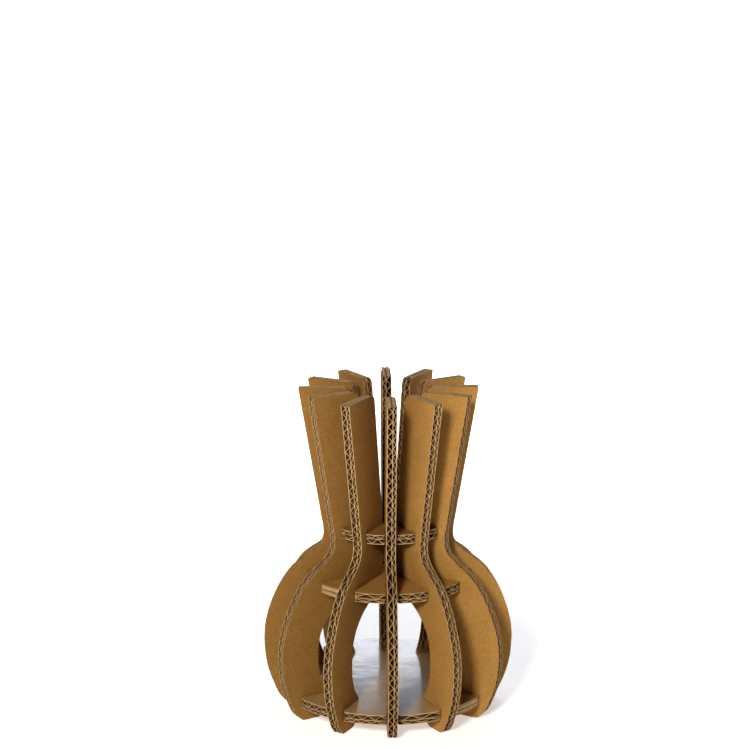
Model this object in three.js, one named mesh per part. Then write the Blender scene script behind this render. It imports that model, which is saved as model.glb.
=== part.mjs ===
// Slot-together vase of double-wall corrugated board: twelve upright ribs stand on their feet round
// a vertical axis, and two slotted rings and a slotted base disc hold them 30 degrees apart.
// Every crossing is a half-lap: the rib is notched from its inner edge, the ring from its outer edge.
// Millimetres, +Z up. The origin is on the axis, on the surface that the feet stand on. -Y is the front.
import * as THREE from 'three';

// Board and joints
const BOARD = 6.8;
const SLOT_PLAY = 0.3;
const RIB_COUNT = 12;
const RIB_STEP = (2 * Math.PI) / RIB_COUNT;
const FRONT_ANGLE = -Math.PI / 2;

// Rib outline, as radius from the axis and height
const TOP = { z: 233, outerR: 63.5, innerR: 27.3 };
const TOP_OUTER_ROUND = 1.1;
const TOP_INNER_ROUND = 5.5;
const NECK = { z: 135, outerR: 47 };
const BELLY = { z: 50.3, outerR: 89.2 };
const FOOT = { outerR: 73.5, innerR: 60, riseR: 50, riseZ: 4.6 };
const FOOT_SIDE = { r: 78.8, z: 6 };
const FOOT_ROUND = 4.5;
const THROAT_R = 14.6;
const ARCH = { topZ: 88.6, r: 60, z: 51, endR: 50.6, endZ: 18.6 };
const SHOULDER = { r: 65.5, z: 104.4 };

// Control points that pull the outline's curves: waist to shoulder, shoulder to belly, belly to foot, arch
const WAIST_ABOVE = { r: 43.9, z: 116.9 };
const WAIST_BELOW = { r: 49.9, z: 116.8 };
const SHOULDER_BELOW = { r: 77, z: 95.4 };
const BELLY_ABOVE_Z = 67.6;
const BELLY_BELOW_Z = 28.2;
const FOOT_ABOVE = { r: 84.8, z: 18.7 };
const ARCH_LOW = { r: 62.1, z: 31.5 };
const ARCH_BELOW_Z = 45;
const ARCH_ABOVE_Z = 76;
const ARCH_TOP_R = 33;

// Slotted pieces: outer radius, height of the underside, and radius where rib and ring meet mid-lap
const UPPER_RING = { outerR: 42, z: 130, lapR: 28.5, cornerRound: 1.8 };
const MIDDLE_RING = { outerR: 59.5, z: 93.2, lapR: 37, cornerRound: 2.4 };
const BASE_DISC = { outerR: 75.4, z: 10.7, lapR: 63, cornerRound: 2.2 };
const HOLE_R = 14.8;

// Clear film bonded to the top of the base disc
const FILM = 0.2;
const FILM_GAP = 0.05;
const FILM_ROOM = 0.6;

const RIB_CURVE_STEPS = 6;
const RING_CURVE_STEPS = 2;

const KRAFT = new THREE.MeshStandardMaterial({ color: 0xb58c58, roughness: 0.88, metalness: 0 });
const KRAFT_RING = new THREE.MeshStandardMaterial({ color: 0xa57d4c, roughness: 0.88, metalness: 0 });
const CLEAR_FILM = new THREE.MeshStandardMaterial({ color: 0xc9ccd0, roughness: 0.12, metalness: 0 });

// Adds the corner between the straight runs from -> corner -> to, rounded at about the given radius.
function roundedCorner(path, from, corner, to, radius) {
  const back = new THREE.Vector2().subVectors(from, corner).normalize();
  const on = new THREE.Vector2().subVectors(to, corner).normalize();
  const reach = radius / Math.tan(Math.acos(back.dot(on)) / 2);
  path.lineTo(corner.x + back.x * reach, corner.y + back.y * reach);
  path.quadraticCurveTo(corner.x, corner.y, corner.x + on.x * reach, corner.y + on.y * reach);
}

// Adds the notch that a ring fills, on the way up the rib's inner edge at innerR.
function notch(path, innerR, ring, roomAbove) {
  const below = ring.z - SLOT_PLAY;
  const above = ring.z + BOARD + roomAbove;
  const end = ring.lapR + SLOT_PLAY / 2;
  path.lineTo(innerR, below);
  path.lineTo(end, below);
  path.lineTo(end, above);
  path.lineTo(innerR, above);
}

function ribOutline() {
  const topOuter = new THREE.Vector2(TOP.outerR, TOP.z);
  const topInner = new THREE.Vector2(TOP.innerR, TOP.z);
  const neck = new THREE.Vector2(NECK.outerR, NECK.z);
  const throat = new THREE.Vector2(THROAT_R, NECK.z);
  const side = new THREE.Vector2(FOOT_SIDE.r, FOOT_SIDE.z);
  const toe = new THREE.Vector2(FOOT.outerR, 0);
  const heel = new THREE.Vector2(FOOT.innerR, 0);
  const rib = new THREE.Shape();
  rib.moveTo((TOP.outerR + TOP.innerR) / 2, TOP.z);
  roundedCorner(rib, topInner, topOuter, neck, TOP_OUTER_ROUND);

  // down the flared neck, round its waist, over the shoulder and down the belly to the foot
  rib.lineTo(neck.x, neck.y);
  rib.bezierCurveTo(WAIST_ABOVE.r, WAIST_ABOVE.z, WAIST_BELOW.r, WAIST_BELOW.z, SHOULDER.r, SHOULDER.z);
  rib.bezierCurveTo(
    SHOULDER_BELOW.r, SHOULDER_BELOW.z, BELLY.outerR, BELLY_ABOVE_Z, BELLY.outerR, BELLY.z);
  rib.bezierCurveTo(BELLY.outerR, BELLY_BELOW_Z, FOOT_ABOVE.r, FOOT_ABOVE.z, side.x, side.y);
  roundedCorner(rib, side, toe, heel, FOOT_ROUND);
  rib.lineTo(heel.x, heel.y);
  rib.lineTo(FOOT.riseR, FOOT.riseZ);

  // up the inner edge: past the base disc, round the belly arch, past both rings, along the mouth
  notch(rib, FOOT.riseR, BASE_DISC, FILM_ROOM);
  rib.lineTo(ARCH.endR, ARCH.endZ);
  rib.bezierCurveTo(ARCH_LOW.r, ARCH_LOW.z, ARCH.r, ARCH_BELOW_Z, ARCH.r, ARCH.z);
  rib.bezierCurveTo(ARCH.r, ARCH_ABOVE_Z, ARCH_TOP_R, ARCH.topZ, THROAT_R, ARCH.topZ);
  notch(rib, THROAT_R, MIDDLE_RING, SLOT_PLAY);
  notch(rib, THROAT_R, UPPER_RING, SLOT_PLAY);
  roundedCorner(rib, throat, topInner, topOuter, TOP_INNER_ROUND);
  rib.closePath();
  return rib;
}

// A disc of the ring's outer radius with an open slot for each rib and rounded corners at each slot.
function slottedOutline(ring) {
  const half = BOARD / 2 + SLOT_PLAY;
  const root = ring.lapR - SLOT_PLAY / 2;
  const round = ring.cornerRound;
  const roundR = ring.outerR - round;
  const along = Math.sqrt(roundR ** 2 - (half + round) ** 2);
  const spread = Math.atan2(half + round, along);
  const place = (angle, u, v) => new THREE.Vector2(u, v).rotateAround(new THREE.Vector2(), angle);
  const outline = new THREE.Shape();
  for (let i = 0; i < RIB_COUNT; i += 1) {
    const slot = FRONT_ANGLE + i * RIB_STEP;
    const next = slot + RIB_STEP;
    const corners = [place(slot, root, -half), place(slot, root, half)];
    const near = place(slot, along, half + round);
    const far = place(next, along, -half - round);
    if (i === 0) {
      outline.moveTo(corners[0].x, corners[0].y);
    } else {
      outline.lineTo(corners[0].x, corners[0].y);
    }
    outline.lineTo(corners[1].x, corners[1].y);
    outline.absarc(near.x, near.y, round, slot - Math.PI / 2, slot + spread, false);
    outline.absarc(0, 0, ring.outerR, slot + spread, next - spread, false);
    outline.absarc(far.x, far.y, round, next - spread, next + Math.PI / 2, false);
  }
  outline.closePath();
  return outline;
}

// The round hole down the middle, drawn as one short arc per rib.
function centreHole() {
  const hole = new THREE.Path();
  for (let i = 0; i < RIB_COUNT; i += 1) {
    hole.absarc(0, 0, HOLE_R, i * RIB_STEP, (i + 1) * RIB_STEP, false);
  }
  return hole;
}

function extruded(outline, depth, curveSegments) {
  return new THREE.ExtrudeGeometry(outline, { depth, curveSegments, bevelEnabled: false });
}

function slottedPiece(name, ring, hasHole) {
  const outline = slottedOutline(ring);
  if (hasHole) {
    outline.holes.push(centreHole());
  }
  const piece = new THREE.Mesh(extruded(outline, BOARD, RING_CURVE_STEPS), KRAFT_RING);
  piece.name = name;
  piece.position.z = ring.z;
  return piece;
}

function ribs() {
  const spokes = new THREE.Group();
  const shape = extruded(ribOutline(), BOARD, RIB_CURVE_STEPS);
  shape.translate(0, 0, -BOARD / 2);
  for (let i = 0; i < RIB_COUNT; i += 1) {
    const spoke = new THREE.Group();
    spoke.rotation.z = FRONT_ANGLE + i * RIB_STEP;
    const rib = new THREE.Mesh(shape, KRAFT);
    rib.name = `rib_${String(i + 1).padStart(2, '0')}`;
    rib.rotation.x = Math.PI / 2;
    spoke.add(rib);
    spokes.add(spoke);
  }
  return spokes;
}

function baseFilm() {
  const film = new THREE.Mesh(extruded(slottedOutline(BASE_DISC), FILM, RING_CURVE_STEPS), CLEAR_FILM);
  film.name = 'base_film';
  film.position.z = BASE_DISC.z + BOARD + FILM_GAP;
  return film;
}

const vase = new THREE.Group();
vase.add(ribs());
vase.add(slottedPiece('upper_ring', UPPER_RING, true));
vase.add(slottedPiece('middle_ring', MIDDLE_RING, true));
vase.add(slottedPiece('base_disc', BASE_DISC, false));
vase.add(baseFilm());

export default vase;
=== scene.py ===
"""A slot-together vase of double-wall corrugated board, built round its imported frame.

Each rib, ring and disc is made as real board: three flat liners with a C flute and a B flute
glued between them, cut to the outline of the frame's own piece.
"""
import math
import random

import bmesh
import bpy
import numpy as np
from mathutils import Matrix, Vector


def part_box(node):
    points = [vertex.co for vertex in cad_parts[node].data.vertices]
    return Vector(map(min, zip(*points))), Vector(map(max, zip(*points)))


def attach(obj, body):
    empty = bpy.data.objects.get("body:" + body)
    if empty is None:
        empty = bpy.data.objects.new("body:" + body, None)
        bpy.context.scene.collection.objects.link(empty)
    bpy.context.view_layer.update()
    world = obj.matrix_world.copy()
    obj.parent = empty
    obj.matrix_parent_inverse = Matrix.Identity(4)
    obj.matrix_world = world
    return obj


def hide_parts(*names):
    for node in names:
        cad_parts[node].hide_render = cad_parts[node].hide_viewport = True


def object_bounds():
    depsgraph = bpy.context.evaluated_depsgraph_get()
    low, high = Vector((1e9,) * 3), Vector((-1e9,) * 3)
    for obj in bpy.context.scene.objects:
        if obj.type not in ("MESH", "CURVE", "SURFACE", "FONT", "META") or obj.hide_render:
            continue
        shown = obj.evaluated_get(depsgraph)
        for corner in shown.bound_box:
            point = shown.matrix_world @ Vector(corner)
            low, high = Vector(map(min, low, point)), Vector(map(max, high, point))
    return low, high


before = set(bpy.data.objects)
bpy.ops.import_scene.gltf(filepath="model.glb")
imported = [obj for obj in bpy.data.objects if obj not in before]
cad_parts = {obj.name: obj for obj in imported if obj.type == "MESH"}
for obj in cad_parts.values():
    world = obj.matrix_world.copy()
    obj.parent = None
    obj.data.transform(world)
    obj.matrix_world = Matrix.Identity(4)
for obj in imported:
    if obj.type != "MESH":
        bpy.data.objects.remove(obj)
CAD_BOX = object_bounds()

bl_info = {
    "name": "Slotted cardboard vase",
    "version": (1, 0, 0),
    "blender": (4, 5, 0),
    "location": "View3D > Sidebar > Vase",
    "description": "Builds the corrugated ribs, rings, base and studio of a slotted cardboard vase",
    "category": "Add Mesh",
}

MM = 0.001
RIB_COUNT = 12
RIB_STEP = 2 * math.pi / RIB_COUNT
FRONT_ANGLE = -math.pi / 2
SIDE_RIB = "rib_04"  # lies along +X
TOP_LINER, BACK_LINER, FLUTING, CUT_EDGE = range(4)

# Reading a frame piece
WELD = 1e-6  # metres
SNAP = 1e-7  # metres; a point this near a strip's edge lies on it
SAME_WAY = 0.999  # least cosine between a face's normal and the way it should face
FLAT_ANGLE = math.radians(0.5)  # faces that bend less than this become one
BENT_ANGLE = 0.01  # radians; a run that its tangents leave by less is straight

# Irregular shape of the board: the shortest wave of each kind, and how deep a liner is dented
WEAR_WAVE = 5 * MM
FRAY_WAVE = 1.6 * MM
DRIFT_WAVE = 23 * MM
SKEW_WAVE = 60 * MM
DENT_WAVE = 9 * MM
DENT = 0.08 * MM

# Fluting
CREST_BITE = 0.06 * MM  # how far a crest runs into the liner it is glued to
FOLD = 0.95  # 0 is a sine and 1 is a zigzag
STEEPEST_FLANK = 1.5  # a flank's slope, squared, past which its paper is drawn no thicker
ALONG_FLUTES = 0.985  # least cosine between the way out of a cut and the way the flutes repeat
CRUSHED_WAVE = 0.15  # part of the wave that is left in a flute that such a cut opens

TABLE_SIDES = 64

# Lamps: name, azimuth and elevation in degrees, distance and size in metres, watts, colour
LAMPS = (
    ("key_softbox", -18, 29, 1.7, 0.3, 20.4, "#fffaf2"),
    ("side_softbox", -95, 25, 1.7, 0.8, 0.6, "#f6f8ff"),
    ("fill_softbox", 60, 25, 1.7, 0.9, 1.5, "#fffaf2"),
    ("back_softbox", 172, 48, 1.9, 1.2, 12, "#f6f8ff"),
)
AIR_COLOUR = "#eef3ff"
AIR_STRENGTH = 0.03


def linear(hex_colour):
    """An sRGB hex colour as linear red, green, blue and an alpha of one."""
    channels = [int(hex_colour[i:i + 2], 16) / 255 for i in (1, 3, 5)]
    return [c / 12.92 if c <= 0.04045 else ((c + 0.055) / 1.055) ** 2.4 for c in channels] + [1.0]


# ---------------------------------------------------------------- settings

class VaseBoardSettings(bpy.types.PropertyGroup):
    """Sizes of the double-wall board and of the wear along its cut edges."""

    liner: bpy.props.FloatProperty(
        name="Liner", description="Thickness of each flat liner", default=0.5 * MM, unit="LENGTH")
    medium: bpy.props.FloatProperty(
        name="Medium", description="Thickness of the fluted paper", default=0.4 * MM, unit="LENGTH")
    c_pitch: bpy.props.FloatProperty(
        name="C pitch", description="Crest to crest on the tall C flute", default=7.2 * MM, unit="LENGTH")
    b_pitch: bpy.props.FloatProperty(
        name="B pitch", description="Crest to crest on the low B flute", default=6.0 * MM, unit="LENGTH")
    c_share: bpy.props.FloatProperty(
        name="C share", description="Part of the room between the liners that the C flute takes",
        default=0.6, subtype="FACTOR")
    flute_step: bpy.props.FloatProperty(
        name="Flute step", description="Width of the strips a flute is bent from",
        default=0.6 * MM, unit="LENGTH")
    liner_step: bpy.props.FloatProperty(
        name="Liner step", description="Width of the strips a liner is made from",
        default=3.0 * MM, unit="LENGTH")
    edge_wear: bpy.props.FloatProperty(
        name="Edge wear", description="How far the cut paper edges are worn back",
        default=0.28 * MM, unit="LENGTH")
    crush: bpy.props.FloatProperty(
        name="Crush", default=0.72, subtype="FACTOR",
        description="Part of a flute's height that its paper fills where the cut runs along it")
    flute_wander: bpy.props.FloatProperty(
        name="Flute wander", description="How far a crest strays along the board",
        default=0.45 * MM, unit="LENGTH")


class VaseColourSettings(bpy.types.PropertyGroup):
    """Colours of the papers, the film and the stage."""

    top_liner: bpy.props.FloatVectorProperty(
        name="Top liner", description="Kraft on the C flute side of the board",
        default=linear("#aa8249"), size=4, subtype="COLOR")
    back_liner: bpy.props.FloatVectorProperty(
        name="Back liner", description="Darker kraft on the B flute side of the board",
        default=linear("#906d3b"), size=4, subtype="COLOR")
    fluting: bpy.props.FloatVectorProperty(
        name="Fluting", description="Darker paper inside the board",
        default=linear("#836543"), size=4, subtype="COLOR")
    cut_edge: bpy.props.FloatVectorProperty(
        name="Cut edge", description="Pale fibres along a cut",
        default=linear("#b99a70"), size=4, subtype="COLOR")
    filmed: bpy.props.FloatVectorProperty(
        name="Filmed kraft", description="Kraft seen through the clear film",
        default=linear("#ad9168"), size=4, subtype="COLOR")
    stage: bpy.props.FloatVectorProperty(
        name="Stage", description="White table that the vase stands on",
        default=linear("#fafafa"), size=4, subtype="COLOR")
    backdrop: bpy.props.FloatVectorProperty(
        name="Backdrop", description="White backdrop behind the vase",
        default=linear("#e2eeff"), size=4, subtype="COLOR")


class VaseStageSettings(bpy.types.PropertyGroup):
    """Where the camera stands, and the size and glow of the table and the backdrop."""

    distance: bpy.props.FloatProperty(
        name="Distance", description="From the camera to the vase's axis", default=1.4, unit="LENGTH")
    height: bpy.props.FloatProperty(
        name="Height", description="Height on the axis that the camera looks at",
        default=241.4 * MM, unit="LENGTH")
    aside: bpy.props.FloatProperty(
        name="Aside", description="How far left of the axis the camera looks",
        default=9.45 * MM, unit="LENGTH")
    pitch: bpy.props.FloatProperty(
        name="Pitch", description="How steeply the camera looks down",
        default=math.radians(13), subtype="ANGLE")
    yaw: bpy.props.FloatProperty(
        name="Yaw", description="How far the camera is walked round to the left",
        default=math.radians(2), subtype="ANGLE")
    lens: bpy.props.FloatProperty(
        name="Lens", description="Focal length", default=96.0, unit="CAMERA")
    table: bpy.props.FloatProperty(
        name="Table radius", description="Radius of the white table", default=16.0, unit="LENGTH")
    backdrop_back: bpy.props.FloatProperty(
        name="Backdrop back", description="How far the backdrop stands behind", default=2.0, unit="LENGTH")
    backdrop_width: bpy.props.FloatProperty(
        name="Backdrop width", description="Width of the backdrop", default=3.2, unit="LENGTH")
    backdrop_top: bpy.props.FloatProperty(
        name="Backdrop top", description="Height of the backdrop", default=0.8, unit="LENGTH")
    glow_start: bpy.props.FloatProperty(
        name="Glow start", description="From the axis to where the table starts to glow more",
        default=0.12, unit="LENGTH")
    glow_end: bpy.props.FloatProperty(
        name="Glow end", description="From the axis to where the table glows fully",
        default=0.8, unit="LENGTH")
    glow_near: bpy.props.FloatProperty(
        name="Glow near", description="Glow of the table round the vase", default=0.44)
    glow_far: bpy.props.FloatProperty(
        name="Glow far", description="Glow of the table far from the vase", default=1.1)
    backdrop_glow: bpy.props.FloatProperty(
        name="Backdrop glow", description="Glow of the backdrop", default=1.8)


# ---------------------------------------------------------------- materials

def add_node(tree, kind, inputs=(), links=(), **settings):
    """Adds a node, sets its settings and inputs, and links other nodes' named sockets to its inputs."""
    node = tree.nodes.new(kind)
    for key, value in settings.items():
        setattr(node, key, value)
    for key, value in dict(inputs).items():
        node.inputs[key].default_value = value
    for key, (source, socket) in dict(links).items():
        tree.links.new(source.outputs[socket], node.inputs[key])
    return node


def new_material(name, **shader_values):
    """A material with its principled shader and object coordinates in metres."""
    material = bpy.data.materials.new(name)
    material.use_nodes = True
    tree = material.node_tree
    shader = tree.nodes["Principled BSDF"]
    for key, value in shader_values.items():
        shader.inputs[key.replace("_", " ")].default_value = value
    return material, tree, shader, add_node(tree, "ShaderNodeTexCoord")


def shade(colour, factor):
    """The colour made lighter or darker by a factor."""
    return [channel * factor for channel in colour[:3]] + [1.0]


def kraft_liner(name, colour, across):
    """Uncoated brown kraft liner, pressed on a paper machine. It is matt, with long fibres, soft
    clouding where the pulp lay thicker, a few dark flecks of bark, and a faint washboard where it is
    glued to the crests of the flutes below."""
    board = bpy.context.scene.vase_board
    material, tree, shader, coords = new_material(name, Roughness=0.9, Specular_IOR_Level=0.2)
    place = {"Vector": (coords, "Object")}
    clouds = add_node(
        tree, "ShaderNodeTexNoise", {"Scale": 1 / (14 * MM), "Detail": 4, "Roughness": 0.6}, place)
    # real fibres are about 0.03 mm wide and lie in tufts under 1 mm; both are drawn coarser, to show
    mottle = add_node(
        tree, "ShaderNodeTexNoise", {"Scale": 1 / (1.2 * MM), "Detail": 3, "Roughness": 0.7}, place)
    stretched = add_node(tree, "ShaderNodeMapping", {"Scale": (1, 1, 0.16)}, place)
    fibres = add_node(
        tree, "ShaderNodeTexNoise", {"Scale": 1 / (0.45 * MM), "Detail": 2, "Roughness": 0.55},
        {"Vector": (stretched, "Vector")})
    flecks = add_node(tree, "ShaderNodeTexVoronoi", {"Scale": 1 / (5.5 * MM)}, place)
    fleck_mask = add_node(
        tree, "ShaderNodeMapRange",
        {"From Min": 0.035, "From Max": 0.075, "To Min": 1.0, "To Max": 0.0},
        {"Value": (flecks, "Distance")})
    cloudy = add_node(tree, "ShaderNodeValToRGB", links={"Fac": (clouds, "Fac")})
    cloudy.color_ramp.elements[0].position = 0.3
    cloudy.color_ramp.elements[0].color = shade(colour, 0.94)
    cloudy.color_ramp.elements[1].position = 0.72
    cloudy.color_ramp.elements[1].color = shade(colour, 1.05)
    mottled = add_node(
        tree, "ShaderNodeMapRange", {"From Min": 0.3, "From Max": 0.7, "To Min": 0.8, "To Max": 1.16},
        {"Value": (mottle, "Fac")})
    fibrous = add_node(
        tree, "ShaderNodeMapRange", {"From Min": 0.3, "From Max": 0.7, "To Min": 0.93, "To Max": 1.06},
        {"Value": (fibres, "Fac")})
    grain = add_node(
        tree, "ShaderNodeMath", links={0: (mottled, "Result"), 1: (fibrous, "Result")},
        operation="MULTIPLY")
    toned = add_node(
        tree, "ShaderNodeVectorMath", links={0: (cloudy, "Color"), 1: (grain, "Value")},
        operation="MULTIPLY")
    flecked = add_node(
        tree, "ShaderNodeMix", {"B": shade(colour, 0.55)},
        {"Factor": (fleck_mask, "Result"), "A": (toned, "Vector")}, data_type="RGBA")
    tree.links.new(flecked.outputs["Result"], shader.inputs["Base Color"])
    turned = add_node(
        tree, "ShaderNodeVectorMath", {1: across}, {0: (coords, "Object")}, operation="DOT_PRODUCT")
    phase = add_node(
        tree, "ShaderNodeMath", {1: 2 * math.pi / board.c_pitch}, {0: (turned, "Value")},
        operation="MULTIPLY")
    washboard = add_node(tree, "ShaderNodeMath", links={0: (phase, "Value")}, operation="SINE")
    ridges = add_node(
        tree, "ShaderNodeMath", {1: 0.10}, {0: (washboard, "Value")}, operation="MULTIPLY")
    height = add_node(
        tree, "ShaderNodeMath", links={0: (ridges, "Value"), 1: (fibres, "Fac")}, operation="ADD")
    bump = add_node(
        tree, "ShaderNodeBump", {"Strength": 0.35, "Distance": 0.12 * MM},
        {"Height": (height, "Value")})
    tree.links.new(bump.outputs["Normal"], shader.inputs["Normal"])
    return material


def fluting_paper(colour):
    """Semi-chemical fluting paper. It is duller and darker than the liner, with a coarse fibre."""
    material, tree, shader, coords = new_material(
        "fluting_paper", Roughness=0.95, Specular_IOR_Level=0.2)
    # fibre of about 0.05 mm, drawn coarser to show
    fibre = add_node(
        tree, "ShaderNodeTexNoise", {"Scale": 1 / (0.9 * MM), "Detail": 3, "Roughness": 0.65},
        {"Vector": (coords, "Object")})
    tone = add_node(tree, "ShaderNodeValToRGB", links={"Fac": (fibre, "Fac")})
    tone.color_ramp.elements[0].position = 0.3
    tone.color_ramp.elements[0].color = shade(colour, 0.78)
    tone.color_ramp.elements[1].position = 0.7
    tone.color_ramp.elements[1].color = shade(colour, 1.1)
    tree.links.new(tone.outputs["Color"], shader.inputs["Base Color"])
    bump = add_node(
        tree, "ShaderNodeBump", {"Strength": 0.5, "Distance": 0.1 * MM}, {"Height": (fibre, "Fac")})
    tree.links.new(bump.outputs["Normal"], shader.inputs["Normal"])
    return material


def cut_paper_edge(colour):
    """Die-cut paper edge. The blade opens the fibres, so the edge is paler and fuzzier than the face."""
    material, tree, shader, coords = new_material(
        "cut_paper_edge", Roughness=0.97, Specular_IOR_Level=0.15)
    # opened fibres of about 0.1 mm, drawn coarser to show
    fuzz = add_node(
        tree, "ShaderNodeTexNoise", {"Scale": 1 / (0.7 * MM), "Detail": 2, "Roughness": 0.6},
        {"Vector": (coords, "Object")})
    soil = add_node(
        tree, "ShaderNodeTexNoise", {"Scale": 1 / (6 * MM), "Detail": 2, "Roughness": 0.5},
        {"Vector": (coords, "Object")})
    both = add_node(
        tree, "ShaderNodeMath", links={0: (fuzz, "Fac"), 1: (soil, "Fac")}, operation="ADD")
    mean = add_node(tree, "ShaderNodeMath", {1: 0.5}, {0: (both, "Value")}, operation="MULTIPLY")
    tone = add_node(tree, "ShaderNodeValToRGB", links={"Fac": (mean, "Value")})
    tone.color_ramp.elements[0].position = 0.34
    tone.color_ramp.elements[0].color = shade(colour, 0.72)
    tone.color_ramp.elements[1].position = 0.62
    tone.color_ramp.elements[1].color = shade(colour, 1.08)
    tree.links.new(tone.outputs["Color"], shader.inputs["Base Color"])
    bump = add_node(
        tree, "ShaderNodeBump", {"Strength": 0.6, "Distance": 0.15 * MM}, {"Height": (fuzz, "Fac")})
    tree.links.new(bump.outputs["Normal"], shader.inputs["Normal"])
    return material


def film_on_kraft(colour):
    """Clear polypropylene film laminated to kraft. The brown shows through under a smooth, slightly
    rippled gloss that mirrors what stands behind it."""
    material, tree, shader, coords = new_material(
        "film_on_kraft", Roughness=0.26, Coat_Weight=1.0, Coat_Roughness=0.08, Coat_IOR=1.6)
    place = {"Vector": (coords, "Object")}
    clouds = add_node(
        tree, "ShaderNodeTexNoise", {"Scale": 1 / (9 * MM), "Detail": 4, "Roughness": 0.6}, place)
    tone = add_node(tree, "ShaderNodeValToRGB", links={"Fac": (clouds, "Fac")})
    tone.color_ramp.elements[0].position = 0.3
    tone.color_ramp.elements[0].color = shade(colour, 0.85)
    tone.color_ramp.elements[1].position = 0.7
    tone.color_ramp.elements[1].color = shade(colour, 1.1)
    tree.links.new(tone.outputs["Color"], shader.inputs["Base Color"])
    ripple = add_node(tree, "ShaderNodeTexNoise", {"Scale": 1 / (22 * MM), "Detail": 2}, place)
    # tufts of pulp under 1 mm press through the film; they are drawn coarser, to show
    pulp = add_node(tree, "ShaderNodeTexNoise", {"Scale": 1 / (2.2 * MM), "Detail": 2}, place)
    faint = add_node(tree, "ShaderNodeMath", {1: 0.14}, {0: (pulp, "Fac")}, operation="MULTIPLY")
    height = add_node(
        tree, "ShaderNodeMath", links={0: (ripple, "Fac"), 1: (faint, "Value")}, operation="ADD")
    bump = add_node(
        tree, "ShaderNodeBump", {"Strength": 0.2, "Distance": 0.6 * MM},
        {"Height": (height, "Value")})
    tree.links.new(bump.outputs["Normal"], shader.inputs["Normal"])
    tree.links.new(bump.outputs["Normal"], shader.inputs["Coat Normal"])
    return material


def painted_glow_table(colour):
    """White acrylic of a shooting table with a painted glow: its emission is weaker round the vase
    and full further out, so the ground stays white with only a soft shadow. It is matt."""
    stage = bpy.context.scene.vase_stage
    material, tree, shader, coords = new_material(
        "acrylic_table_painted_glow", Roughness=0.9, Specular_IOR_Level=0.1,
        Base_Color=colour, Emission_Color=colour)
    away = add_node(tree, "ShaderNodeVectorMath", links={0: (coords, "Object")}, operation="LENGTH")
    # painted glow: the table's emission is weaker near the vase and stronger further out
    glow = add_node(
        tree, "ShaderNodeMapRange",
        {"From Min": stage.glow_start, "From Max": stage.glow_end,
         "To Min": stage.glow_near, "To Max": stage.glow_far},
        {"Value": (away, "Value")}, interpolation_type="SMOOTHSTEP")
    tree.links.new(glow.outputs["Result"], shader.inputs["Emission Strength"])
    return material


def lit_backdrop(colour):
    """Evenly lit white backdrop. The film on the base mirrors it."""
    return new_material(
        "lit_backdrop", Roughness=0.9, Specular_IOR_Level=0.1, Base_Color=colour,
        Emission_Color=colour, Emission_Strength=bpy.context.scene.vase_stage.backdrop_glow)[0]


def paper(name, make, *values):
    """The named material, made the first time that it is asked for."""
    return bpy.data.materials.get(name) or make(*values)


# ---------------------------------------------------------------- board

class Flat:
    """A flat cutting pattern in its own two axes: its points, faces and cut edges, and the way out of
    the board at each point of a cut."""

    def __init__(self, bm, to_plane):
        bm.verts.index_update()
        self.points = np.array([to_plane(v.co) for v in bm.verts])
        self.faces = [[v.index for v in face.verts] for face in bm.faces]
        self.cuts = []
        outward = np.zeros_like(self.points)
        for face in bm.faces:
            for loop in face.loops:
                if len(loop.edge.link_faces) == 1:
                    a, b = loop.vert.index, loop.link_loop_next.vert.index
                    self.cuts.append((a, b))
                    run = self.points[b] - self.points[a]
                    outward[[a, b]] += (run[1], -run[0])
        lengths = np.maximum(np.linalg.norm(outward, axis=1), 1e-12)
        self.outward = outward / lengths[:, None]


def face_region(node, normal):
    """The flat side of a frame piece that faces along normal, as few large faces."""
    bm = bmesh.new()
    bm.from_mesh(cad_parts[node].data)
    bmesh.ops.remove_doubles(bm, verts=bm.verts, dist=WELD)
    bm.normal_update()
    others = [face for face in bm.faces if face.normal.dot(normal) < SAME_WAY]
    bmesh.ops.delete(bm, geom=others, context="FACES")
    bmesh.ops.dissolve_limit(bm, angle_limit=FLAT_ANGLE, verts=[], edges=bm.edges)
    return bm


def smoothed_loop(corners, sharp=math.radians(24), straight=12 * MM, steps=4):
    """A closed outline with extra points along its curves. Corners sharper than the angle sharp, and
    runs longer than straight, stay as they are, and a curve leaves a long run in line with it."""
    count = len(corners)
    runs = [corners[(i + 1) % count] - corners[i] for i in range(count)]
    tangents = []
    for i in range(count):
        before, after = runs[i - 1], runs[i]
        if before.angle(after) > sharp:
            tangents.append(None)
        elif max(before.length, after.length) > straight:
            tangents.append(max(before, after, key=lambda run: run.length).normalized())
        else:
            tangents.append((before.normalized() + after.normalized()).normalized())
    result = []
    for i in range(count):
        start, end, run = corners[i], corners[(i + 1) % count], runs[i]
        leave = tangents[i] or run.normalized()
        arrive = tangents[(i + 1) % count] or run.normalized()
        bent = leave.angle(run) > BENT_ANGLE or arrive.angle(run) > BENT_ANGLE
        if run.length > straight or not bent:
            result.append(start)
            continue
        for k in range(steps):
            t = k / steps  # along a Hermite curve
            result.append(
                start * (2 * t ** 3 - 3 * t ** 2 + 1) + leave * run.length * (t ** 3 - 2 * t ** 2 + t)
                + end * (3 * t ** 2 - 2 * t ** 3) + arrive * run.length * (t ** 3 - t ** 2))
    return result


def cut_strips(bm, across, width):
    """Cuts the flat faces into strips of about the given width, one after another along across."""
    places = [v.co.dot(across) for v in bm.verts]
    low, high = min(places), max(places)
    count = max(1, round((high - low) / width))
    for i in range(1, count):
        at = low + (high - low) * i / count
        bmesh.ops.bisect_plane(
            bm, geom=bm.verts[:] + bm.edges[:] + bm.faces[:], dist=SNAP, plane_co=across * at,
            plane_no=across)


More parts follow.
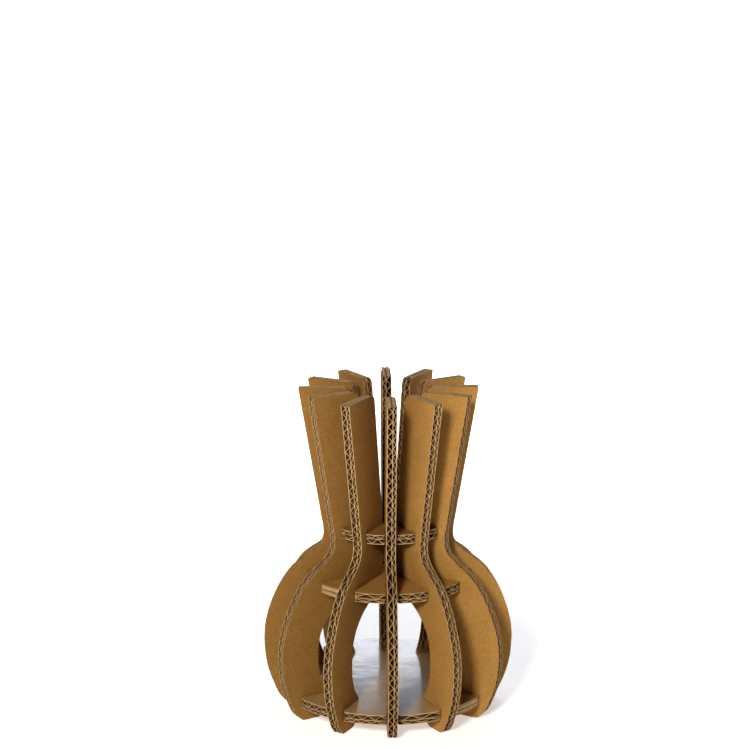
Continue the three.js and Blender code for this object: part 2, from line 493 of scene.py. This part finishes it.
def wander(rng, length, size):
    """A smooth random curve of the given greatest size: a sum of sines whose waves are from one to
    three and a half times the given length."""
    count = 4
    waves = [(2 * math.pi / (length * rng.uniform(1, 3.5)), rng.uniform(0, 2 * math.pi))
             for _ in range(count)]
    return lambda s: size / count * sum(np.sin(k * s + shift) for k, shift in waves)


def flute(s, pitch, shift, height, thickness):
    """Centre line and half thickness of a fluted sheet: nearly straight flanks and tight crests."""
    angle = 2 * math.pi * s / pitch + shift
    crest = (height - thickness) / 2
    centre = crest * np.arcsin(FOLD * np.sin(angle)) / math.asin(FOLD)
    slope = crest / math.asin(FOLD) * FOLD * np.cos(angle) / np.sqrt(1 - (FOLD * np.sin(angle)) ** 2)
    slope = slope * 2 * math.pi / pitch
    return centre, thickness / 2 * np.sqrt(1 + np.minimum(slope ** 2, STEEPEST_FLANK))


def sheet_points(rng, pattern, across, pitch, centre, height, outermost):
    """Where one sheet's points lie: in its worn outline, its depth in the board, and half its
    thickness there. A sheet with no pitch is a liner, and outermost is the depth of the outer one."""
    board = bpy.context.scene.vase_board
    wear = wander(rng, WEAR_WAVE, 1.0)
    fray = wander(rng, FRAY_WAVE, 1.0)
    s = pattern.points @ np.array(across)
    along = pattern.points @ np.array((-across[1], across[0]))
    worn = board.edge_wear * (0.5 + 0.3 * wear(s + 0.7 * along) + 0.2 * fray(s - along))
    flat = pattern.points - pattern.outward * worn[:, None]
    if pitch:
        drift = wander(rng, DRIFT_WAVE, board.flute_wander)
        skew = wander(rng, SKEW_WAVE, board.flute_wander)
        moved = s + drift(s) + skew(along)
        wave, half = flute(
            moved, pitch, rng.uniform(0, 2 * math.pi), height + 2 * CREST_BITE, board.medium)
        # where the cut runs along a flute, the blade has flattened it
        crushed = np.abs(pattern.outward @ np.array(across)) > ALONG_FLUTES
        wave[crushed] *= CRUSHED_WAVE
        half[crushed] = board.crush * height / 2
        return flat, centre + wave, half
    # an outer liner dents inward only, and the middle one either way
    dents = wander(rng, DENT_WAVE, DENT)(s + 0.3 * along)
    if abs(centre) > outermost / 2:
        dents = -math.copysign(1, centre) * np.abs(dents)
    return flat, centre + dents, np.full(len(flat), height / 2)


def board_mesh(name, liners, flutes, across, thickness, place, seed, c_side):
    """Builds a piece of double-wall board. liners and flutes are the same cutting pattern, cut into
    wide and narrow strips. across is the direction in the pattern that the flutes repeat along, place
    turns pattern axes and depth into the frame, and c_side is 1 or -1 for the side of the C flute."""
    board = bpy.context.scene.vase_board
    rng = random.Random(seed)
    room = thickness - 3 * board.liner
    c_height, b_height = room * board.c_share, room * (1 - board.c_share)
    outer_c = thickness / 2 - board.liner / 2
    middle = outer_c - board.liner - c_height
    outer_b = -outer_c
    sheets = [
        (liners, None, outer_c, board.liner),
        (flutes, board.c_pitch, (outer_c + middle) / 2, c_height),
        (liners, None, middle, board.liner),
        (flutes, board.b_pitch, (outer_b + middle) / 2, b_height),
        (liners, None, outer_b, board.liner),
    ]
    verts, faces, slots = [], [], []
    for pattern, pitch, centre, height in sheets:
        flat, depth, half = sheet_points(rng, pattern, across, pitch, centre, height, outer_c)
        base = len(verts)
        count = len(flat)
        for side in (1, -1):
            verts.extend(place(flat[:, 0], flat[:, 1], c_side * (depth + side * half)))
        outside = TOP_LINER if centre == outer_c else FLUTING
        inside = BACK_LINER if centre == outer_b else FLUTING
        for face in pattern.faces:
            up = [base + i for i in face]
            down = [base + count + i for i in reversed(face)]
            faces.extend([up, down] if c_side > 0 else [up[::-1], down[::-1]])
            slots.extend([outside, inside])
        for a, b in pattern.cuts:
            rim = [base + a, base + count + a, base + count + b, base + b]
            faces.append(rim if c_side > 0 else rim[::-1])
            slots.append(CUT_EDGE)
    mesh = bpy.data.meshes.new(name)
    mesh.from_pydata(verts, [], faces)
    mesh.polygons.foreach_set("material_index", slots)
    mesh.update()
    return mesh


def board_piece(name, mesh, materials, body, node):
    """Links a board mesh to the scene in place of its frame node."""
    for material in materials:
        mesh.materials.append(material)
    piece = bpy.data.objects.new(name, mesh)
    bpy.context.scene.collection.objects.link(piece)
    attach(piece, body)
    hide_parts(node)
    return piece


def board_papers(across):
    """The four papers of a board whose flutes repeat along across."""
    colours = bpy.context.scene.vase_colours
    direction = "_".join(f"{round(c * 100)}" for c in across).replace("-", "m")
    top, back = f"kraft_top_liner_{direction}", f"kraft_back_liner_{direction}"
    return [
        paper(top, kraft_liner, top, colours.top_liner, across),
        paper(back, kraft_liner, back, colours.back_liner, across),
        paper("fluting_paper", fluting_paper, colours.fluting),
        paper("cut_paper_edge", cut_paper_edge, colours.cut_edge),
    ]


# ---------------------------------------------------------------- operators

class VASE_OT_ribs(bpy.types.Operator):
    """Make the twelve corrugated ribs"""

    bl_idname = "vase.ribs"
    bl_label = "Ribs"

    def execute(self, context):
        board = context.scene.vase_board
        low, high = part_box(SIDE_RIB)
        thickness = high.y - low.y
        up = Vector((0, 0, 1))
        region = face_region(SIDE_RIB, Vector((0, -1, 0)))
        outline = max(region.faces, key=lambda face: face.calc_area())
        loop = smoothed_loop([Vector((v.co.x, 0, v.co.z)) for v in outline.verts])
        region.free()
        patterns = []
        for width in (board.liner_step, board.flute_step):
            bm = bmesh.new()
            face = bm.faces.new([bm.verts.new(point) for point in loop])
            face.normal_update()
            if face.normal.y > 0:
                face.normal_flip()
            cut_strips(bm, up, width)
            patterns.append(Flat(bm, lambda co: (co.x, co.z)))
            bm.free()
        papers = board_papers((0, 0, 1))
        for i in range(RIB_COUNT):
            angle = FRONT_ANGLE + i * RIB_STEP
            out = np.array((math.cos(angle), math.sin(angle)))
            side = np.array((math.sin(angle), -math.cos(angle)))

            def place(r, z, depth, out=out, side=side):
                flat = r[:, None] * out + depth[:, None] * side
                return np.column_stack((flat, z)).tolist()

            name = f"rib_{i + 1:02d}"
            mesh = board_mesh(
                f"{name}_board", *patterns, (0.0, 1.0), thickness, place, seed=100 + i, c_side=1)
            board_piece(f"{name}_board", mesh, papers, f"{name}_body", name)
        return {"FINISHED"}


def ring_of_board(node, flute_angle, seed, c_side):
    """Makes a slotted ring or disc of board. Its flutes repeat along flute_angle from +X."""
    board = bpy.context.scene.vase_board
    low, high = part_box(node)
    middle = (low.z + high.z) / 2
    across = Vector((math.cos(flute_angle), math.sin(flute_angle), 0))
    patterns = []
    for width in (board.liner_step, board.flute_step):
        bm = face_region(node, Vector((0, 0, 1)))
        cut_strips(bm, across, width)
        patterns.append(Flat(bm, lambda co: (co.x, co.y)))
        bm.free()

    def place(x, y, depth):
        return np.column_stack((x, y, depth + middle)).tolist()

    mesh = board_mesh(
        f"{node}_board", *patterns, (across.x, across.y), high.z - low.z, place, seed, c_side)
    papers = board_papers(tuple(round(c, 4) for c in across))
    board_piece(f"{node}_board", mesh, papers, "core", node)


class VASE_OT_rings(bpy.types.Operator):
    """Make the slotted rings at the neck and the shoulder"""

    bl_idname = "vase.rings"
    bl_label = "Rings"

    def execute(self, context):
        ring_of_board("upper_ring", flute_angle=math.radians(8), seed=201, c_side=-1)
        ring_of_board("middle_ring", flute_angle=math.radians(45), seed=202, c_side=1)
        return {"FINISHED"}


class VASE_OT_base(bpy.types.Operator):
    """Make the base disc and finish the film on it"""

    bl_idname = "vase.base"
    bl_label = "Base disc and film"

    def execute(self, context):
        ring_of_board("base_disc", flute_angle=math.radians(-45), seed=203, c_side=1)
        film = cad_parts["base_film"]
        film.data.materials.clear()
        film.data.materials.append(
            paper("film_on_kraft", film_on_kraft, context.scene.vase_colours.filmed))
        return {"FINISHED"}


def area_light(name, azimuth, elevation, distance, size, power, colour):
    """A square soft light that looks at the middle of the vase. Azimuth 0 is in front, and positive is
    to the right."""
    data = bpy.data.lights.new(name, "AREA")
    data.size = size
    data.energy = power
    data.color = linear(colour)[:3]
    light = bpy.data.objects.new(name, data)
    bpy.context.scene.collection.objects.link(light)
    low, high = CAD_BOX
    aim = (low + high) / 2
    back = Vector((
        math.sin(azimuth) * math.cos(elevation), -math.cos(azimuth) * math.cos(elevation),
        math.sin(elevation)))
    light.location = aim + back * distance
    light.rotation_euler = (-back).to_track_quat("-Z", "Y").to_euler()


def stage_piece(name, verts, material):
    """A flat part of the stage, with one face."""
    mesh = bpy.data.meshes.new(name)
    mesh.from_pydata(verts, [], [range(len(verts))])
    mesh.materials.append(material)
    piece = bpy.data.objects.new(name, mesh)
    bpy.context.scene.collection.objects.link(piece)


class VASE_OT_stage(bpy.types.Operator):
    """Make the white table, the backdrop, the studio lights and the camera"""

    bl_idname = "vase.stage"
    bl_label = "Stage"

    def execute(self, context):
        scene = context.scene
        stage = scene.vase_stage
        around = [2 * math.pi * i / TABLE_SIDES for i in range(TABLE_SIDES)]
        stage_piece(
            "table",
            [(stage.table * math.cos(turn), stage.table * math.sin(turn), 0) for turn in around],
            paper("acrylic_table_painted_glow", painted_glow_table, scene.vase_colours.stage))
        half, back, top = stage.backdrop_width / 2, stage.backdrop_back, stage.backdrop_top
        stage_piece(
            "backdrop", [(-half, back, 0), (half, back, 0), (half, back, top), (-half, back, top)],
            paper("lit_backdrop", lit_backdrop, scene.vase_colours.backdrop))

        for name, azimuth, elevation, *lamp in LAMPS:
            area_light(name, math.radians(azimuth), math.radians(elevation), *lamp)

        world = bpy.data.worlds.new("studio_air")
        world.use_nodes = True
        background = world.node_tree.nodes["Background"]
        background.inputs["Color"].default_value = linear(AIR_COLOUR)
        background.inputs["Strength"].default_value = AIR_STRENGTH
        scene.world = world
        scene.view_settings.view_transform = "Standard"
        scene.view_settings.look = "Medium High Contrast"

        lens = bpy.data.cameras.new("camera")
        lens.lens = stage.lens
        lens.clip_start = 0.05
        lens.clip_end = 50
        camera = bpy.data.objects.new("camera", lens)
        scene.collection.objects.link(camera)
        look = Vector((
            math.sin(stage.yaw) * math.cos(stage.pitch), math.cos(stage.yaw) * math.cos(stage.pitch),
            -math.sin(stage.pitch)))
        aim = Matrix.Rotation(-stage.yaw, 3, "Z") @ Vector((-stage.aside, 0, stage.height))
        camera.location = aim - look * stage.distance
        camera.rotation_euler = look.to_track_quat("-Z", "Y").to_euler()
        scene.camera = camera
        return {"FINISHED"}


class VASE_PT_panel(bpy.types.Panel):
    """Lists the pieces of the vase and the settings they are made from"""

    bl_label = "Cardboard vase"
    bl_idname = "VASE_PT_panel"
    bl_space_type = "VIEW_3D"
    bl_region_type = "UI"
    bl_category = "Vase"

    def draw(self, context):
        for operator in OPERATORS:
            self.layout.operator(operator.bl_idname)
        for settings in (context.scene.vase_board, context.scene.vase_colours, context.scene.vase_stage):
            box = self.layout.box()
            for key in settings.bl_rna.properties.keys():
                if key not in ("rna_type", "name"):
                    box.prop(settings, key)


SETTINGS = {
    "vase_board": VaseBoardSettings,
    "vase_colours": VaseColourSettings,
    "vase_stage": VaseStageSettings,
}
OPERATORS = (VASE_OT_stage, VASE_OT_ribs, VASE_OT_rings, VASE_OT_base)


def register():
    for name, group in SETTINGS.items():
        bpy.utils.register_class(group)
        setattr(bpy.types.Scene, name, bpy.props.PointerProperty(type=group))
    for cls in (*OPERATORS, VASE_PT_panel):
        bpy.utils.register_class(cls)


def unregister():
    for cls in (VASE_PT_panel, *reversed(OPERATORS)):
        bpy.utils.unregister_class(cls)
    for name, group in reversed(SETTINGS.items()):
        delattr(bpy.types.Scene, name)
        bpy.utils.unregister_class(group)


def main():
    register()
    bpy.ops.vase.stage()
    bpy.ops.vase.ribs()
    bpy.ops.vase.rings()
    bpy.ops.vase.base()


if __name__ == "__main__":
    main()
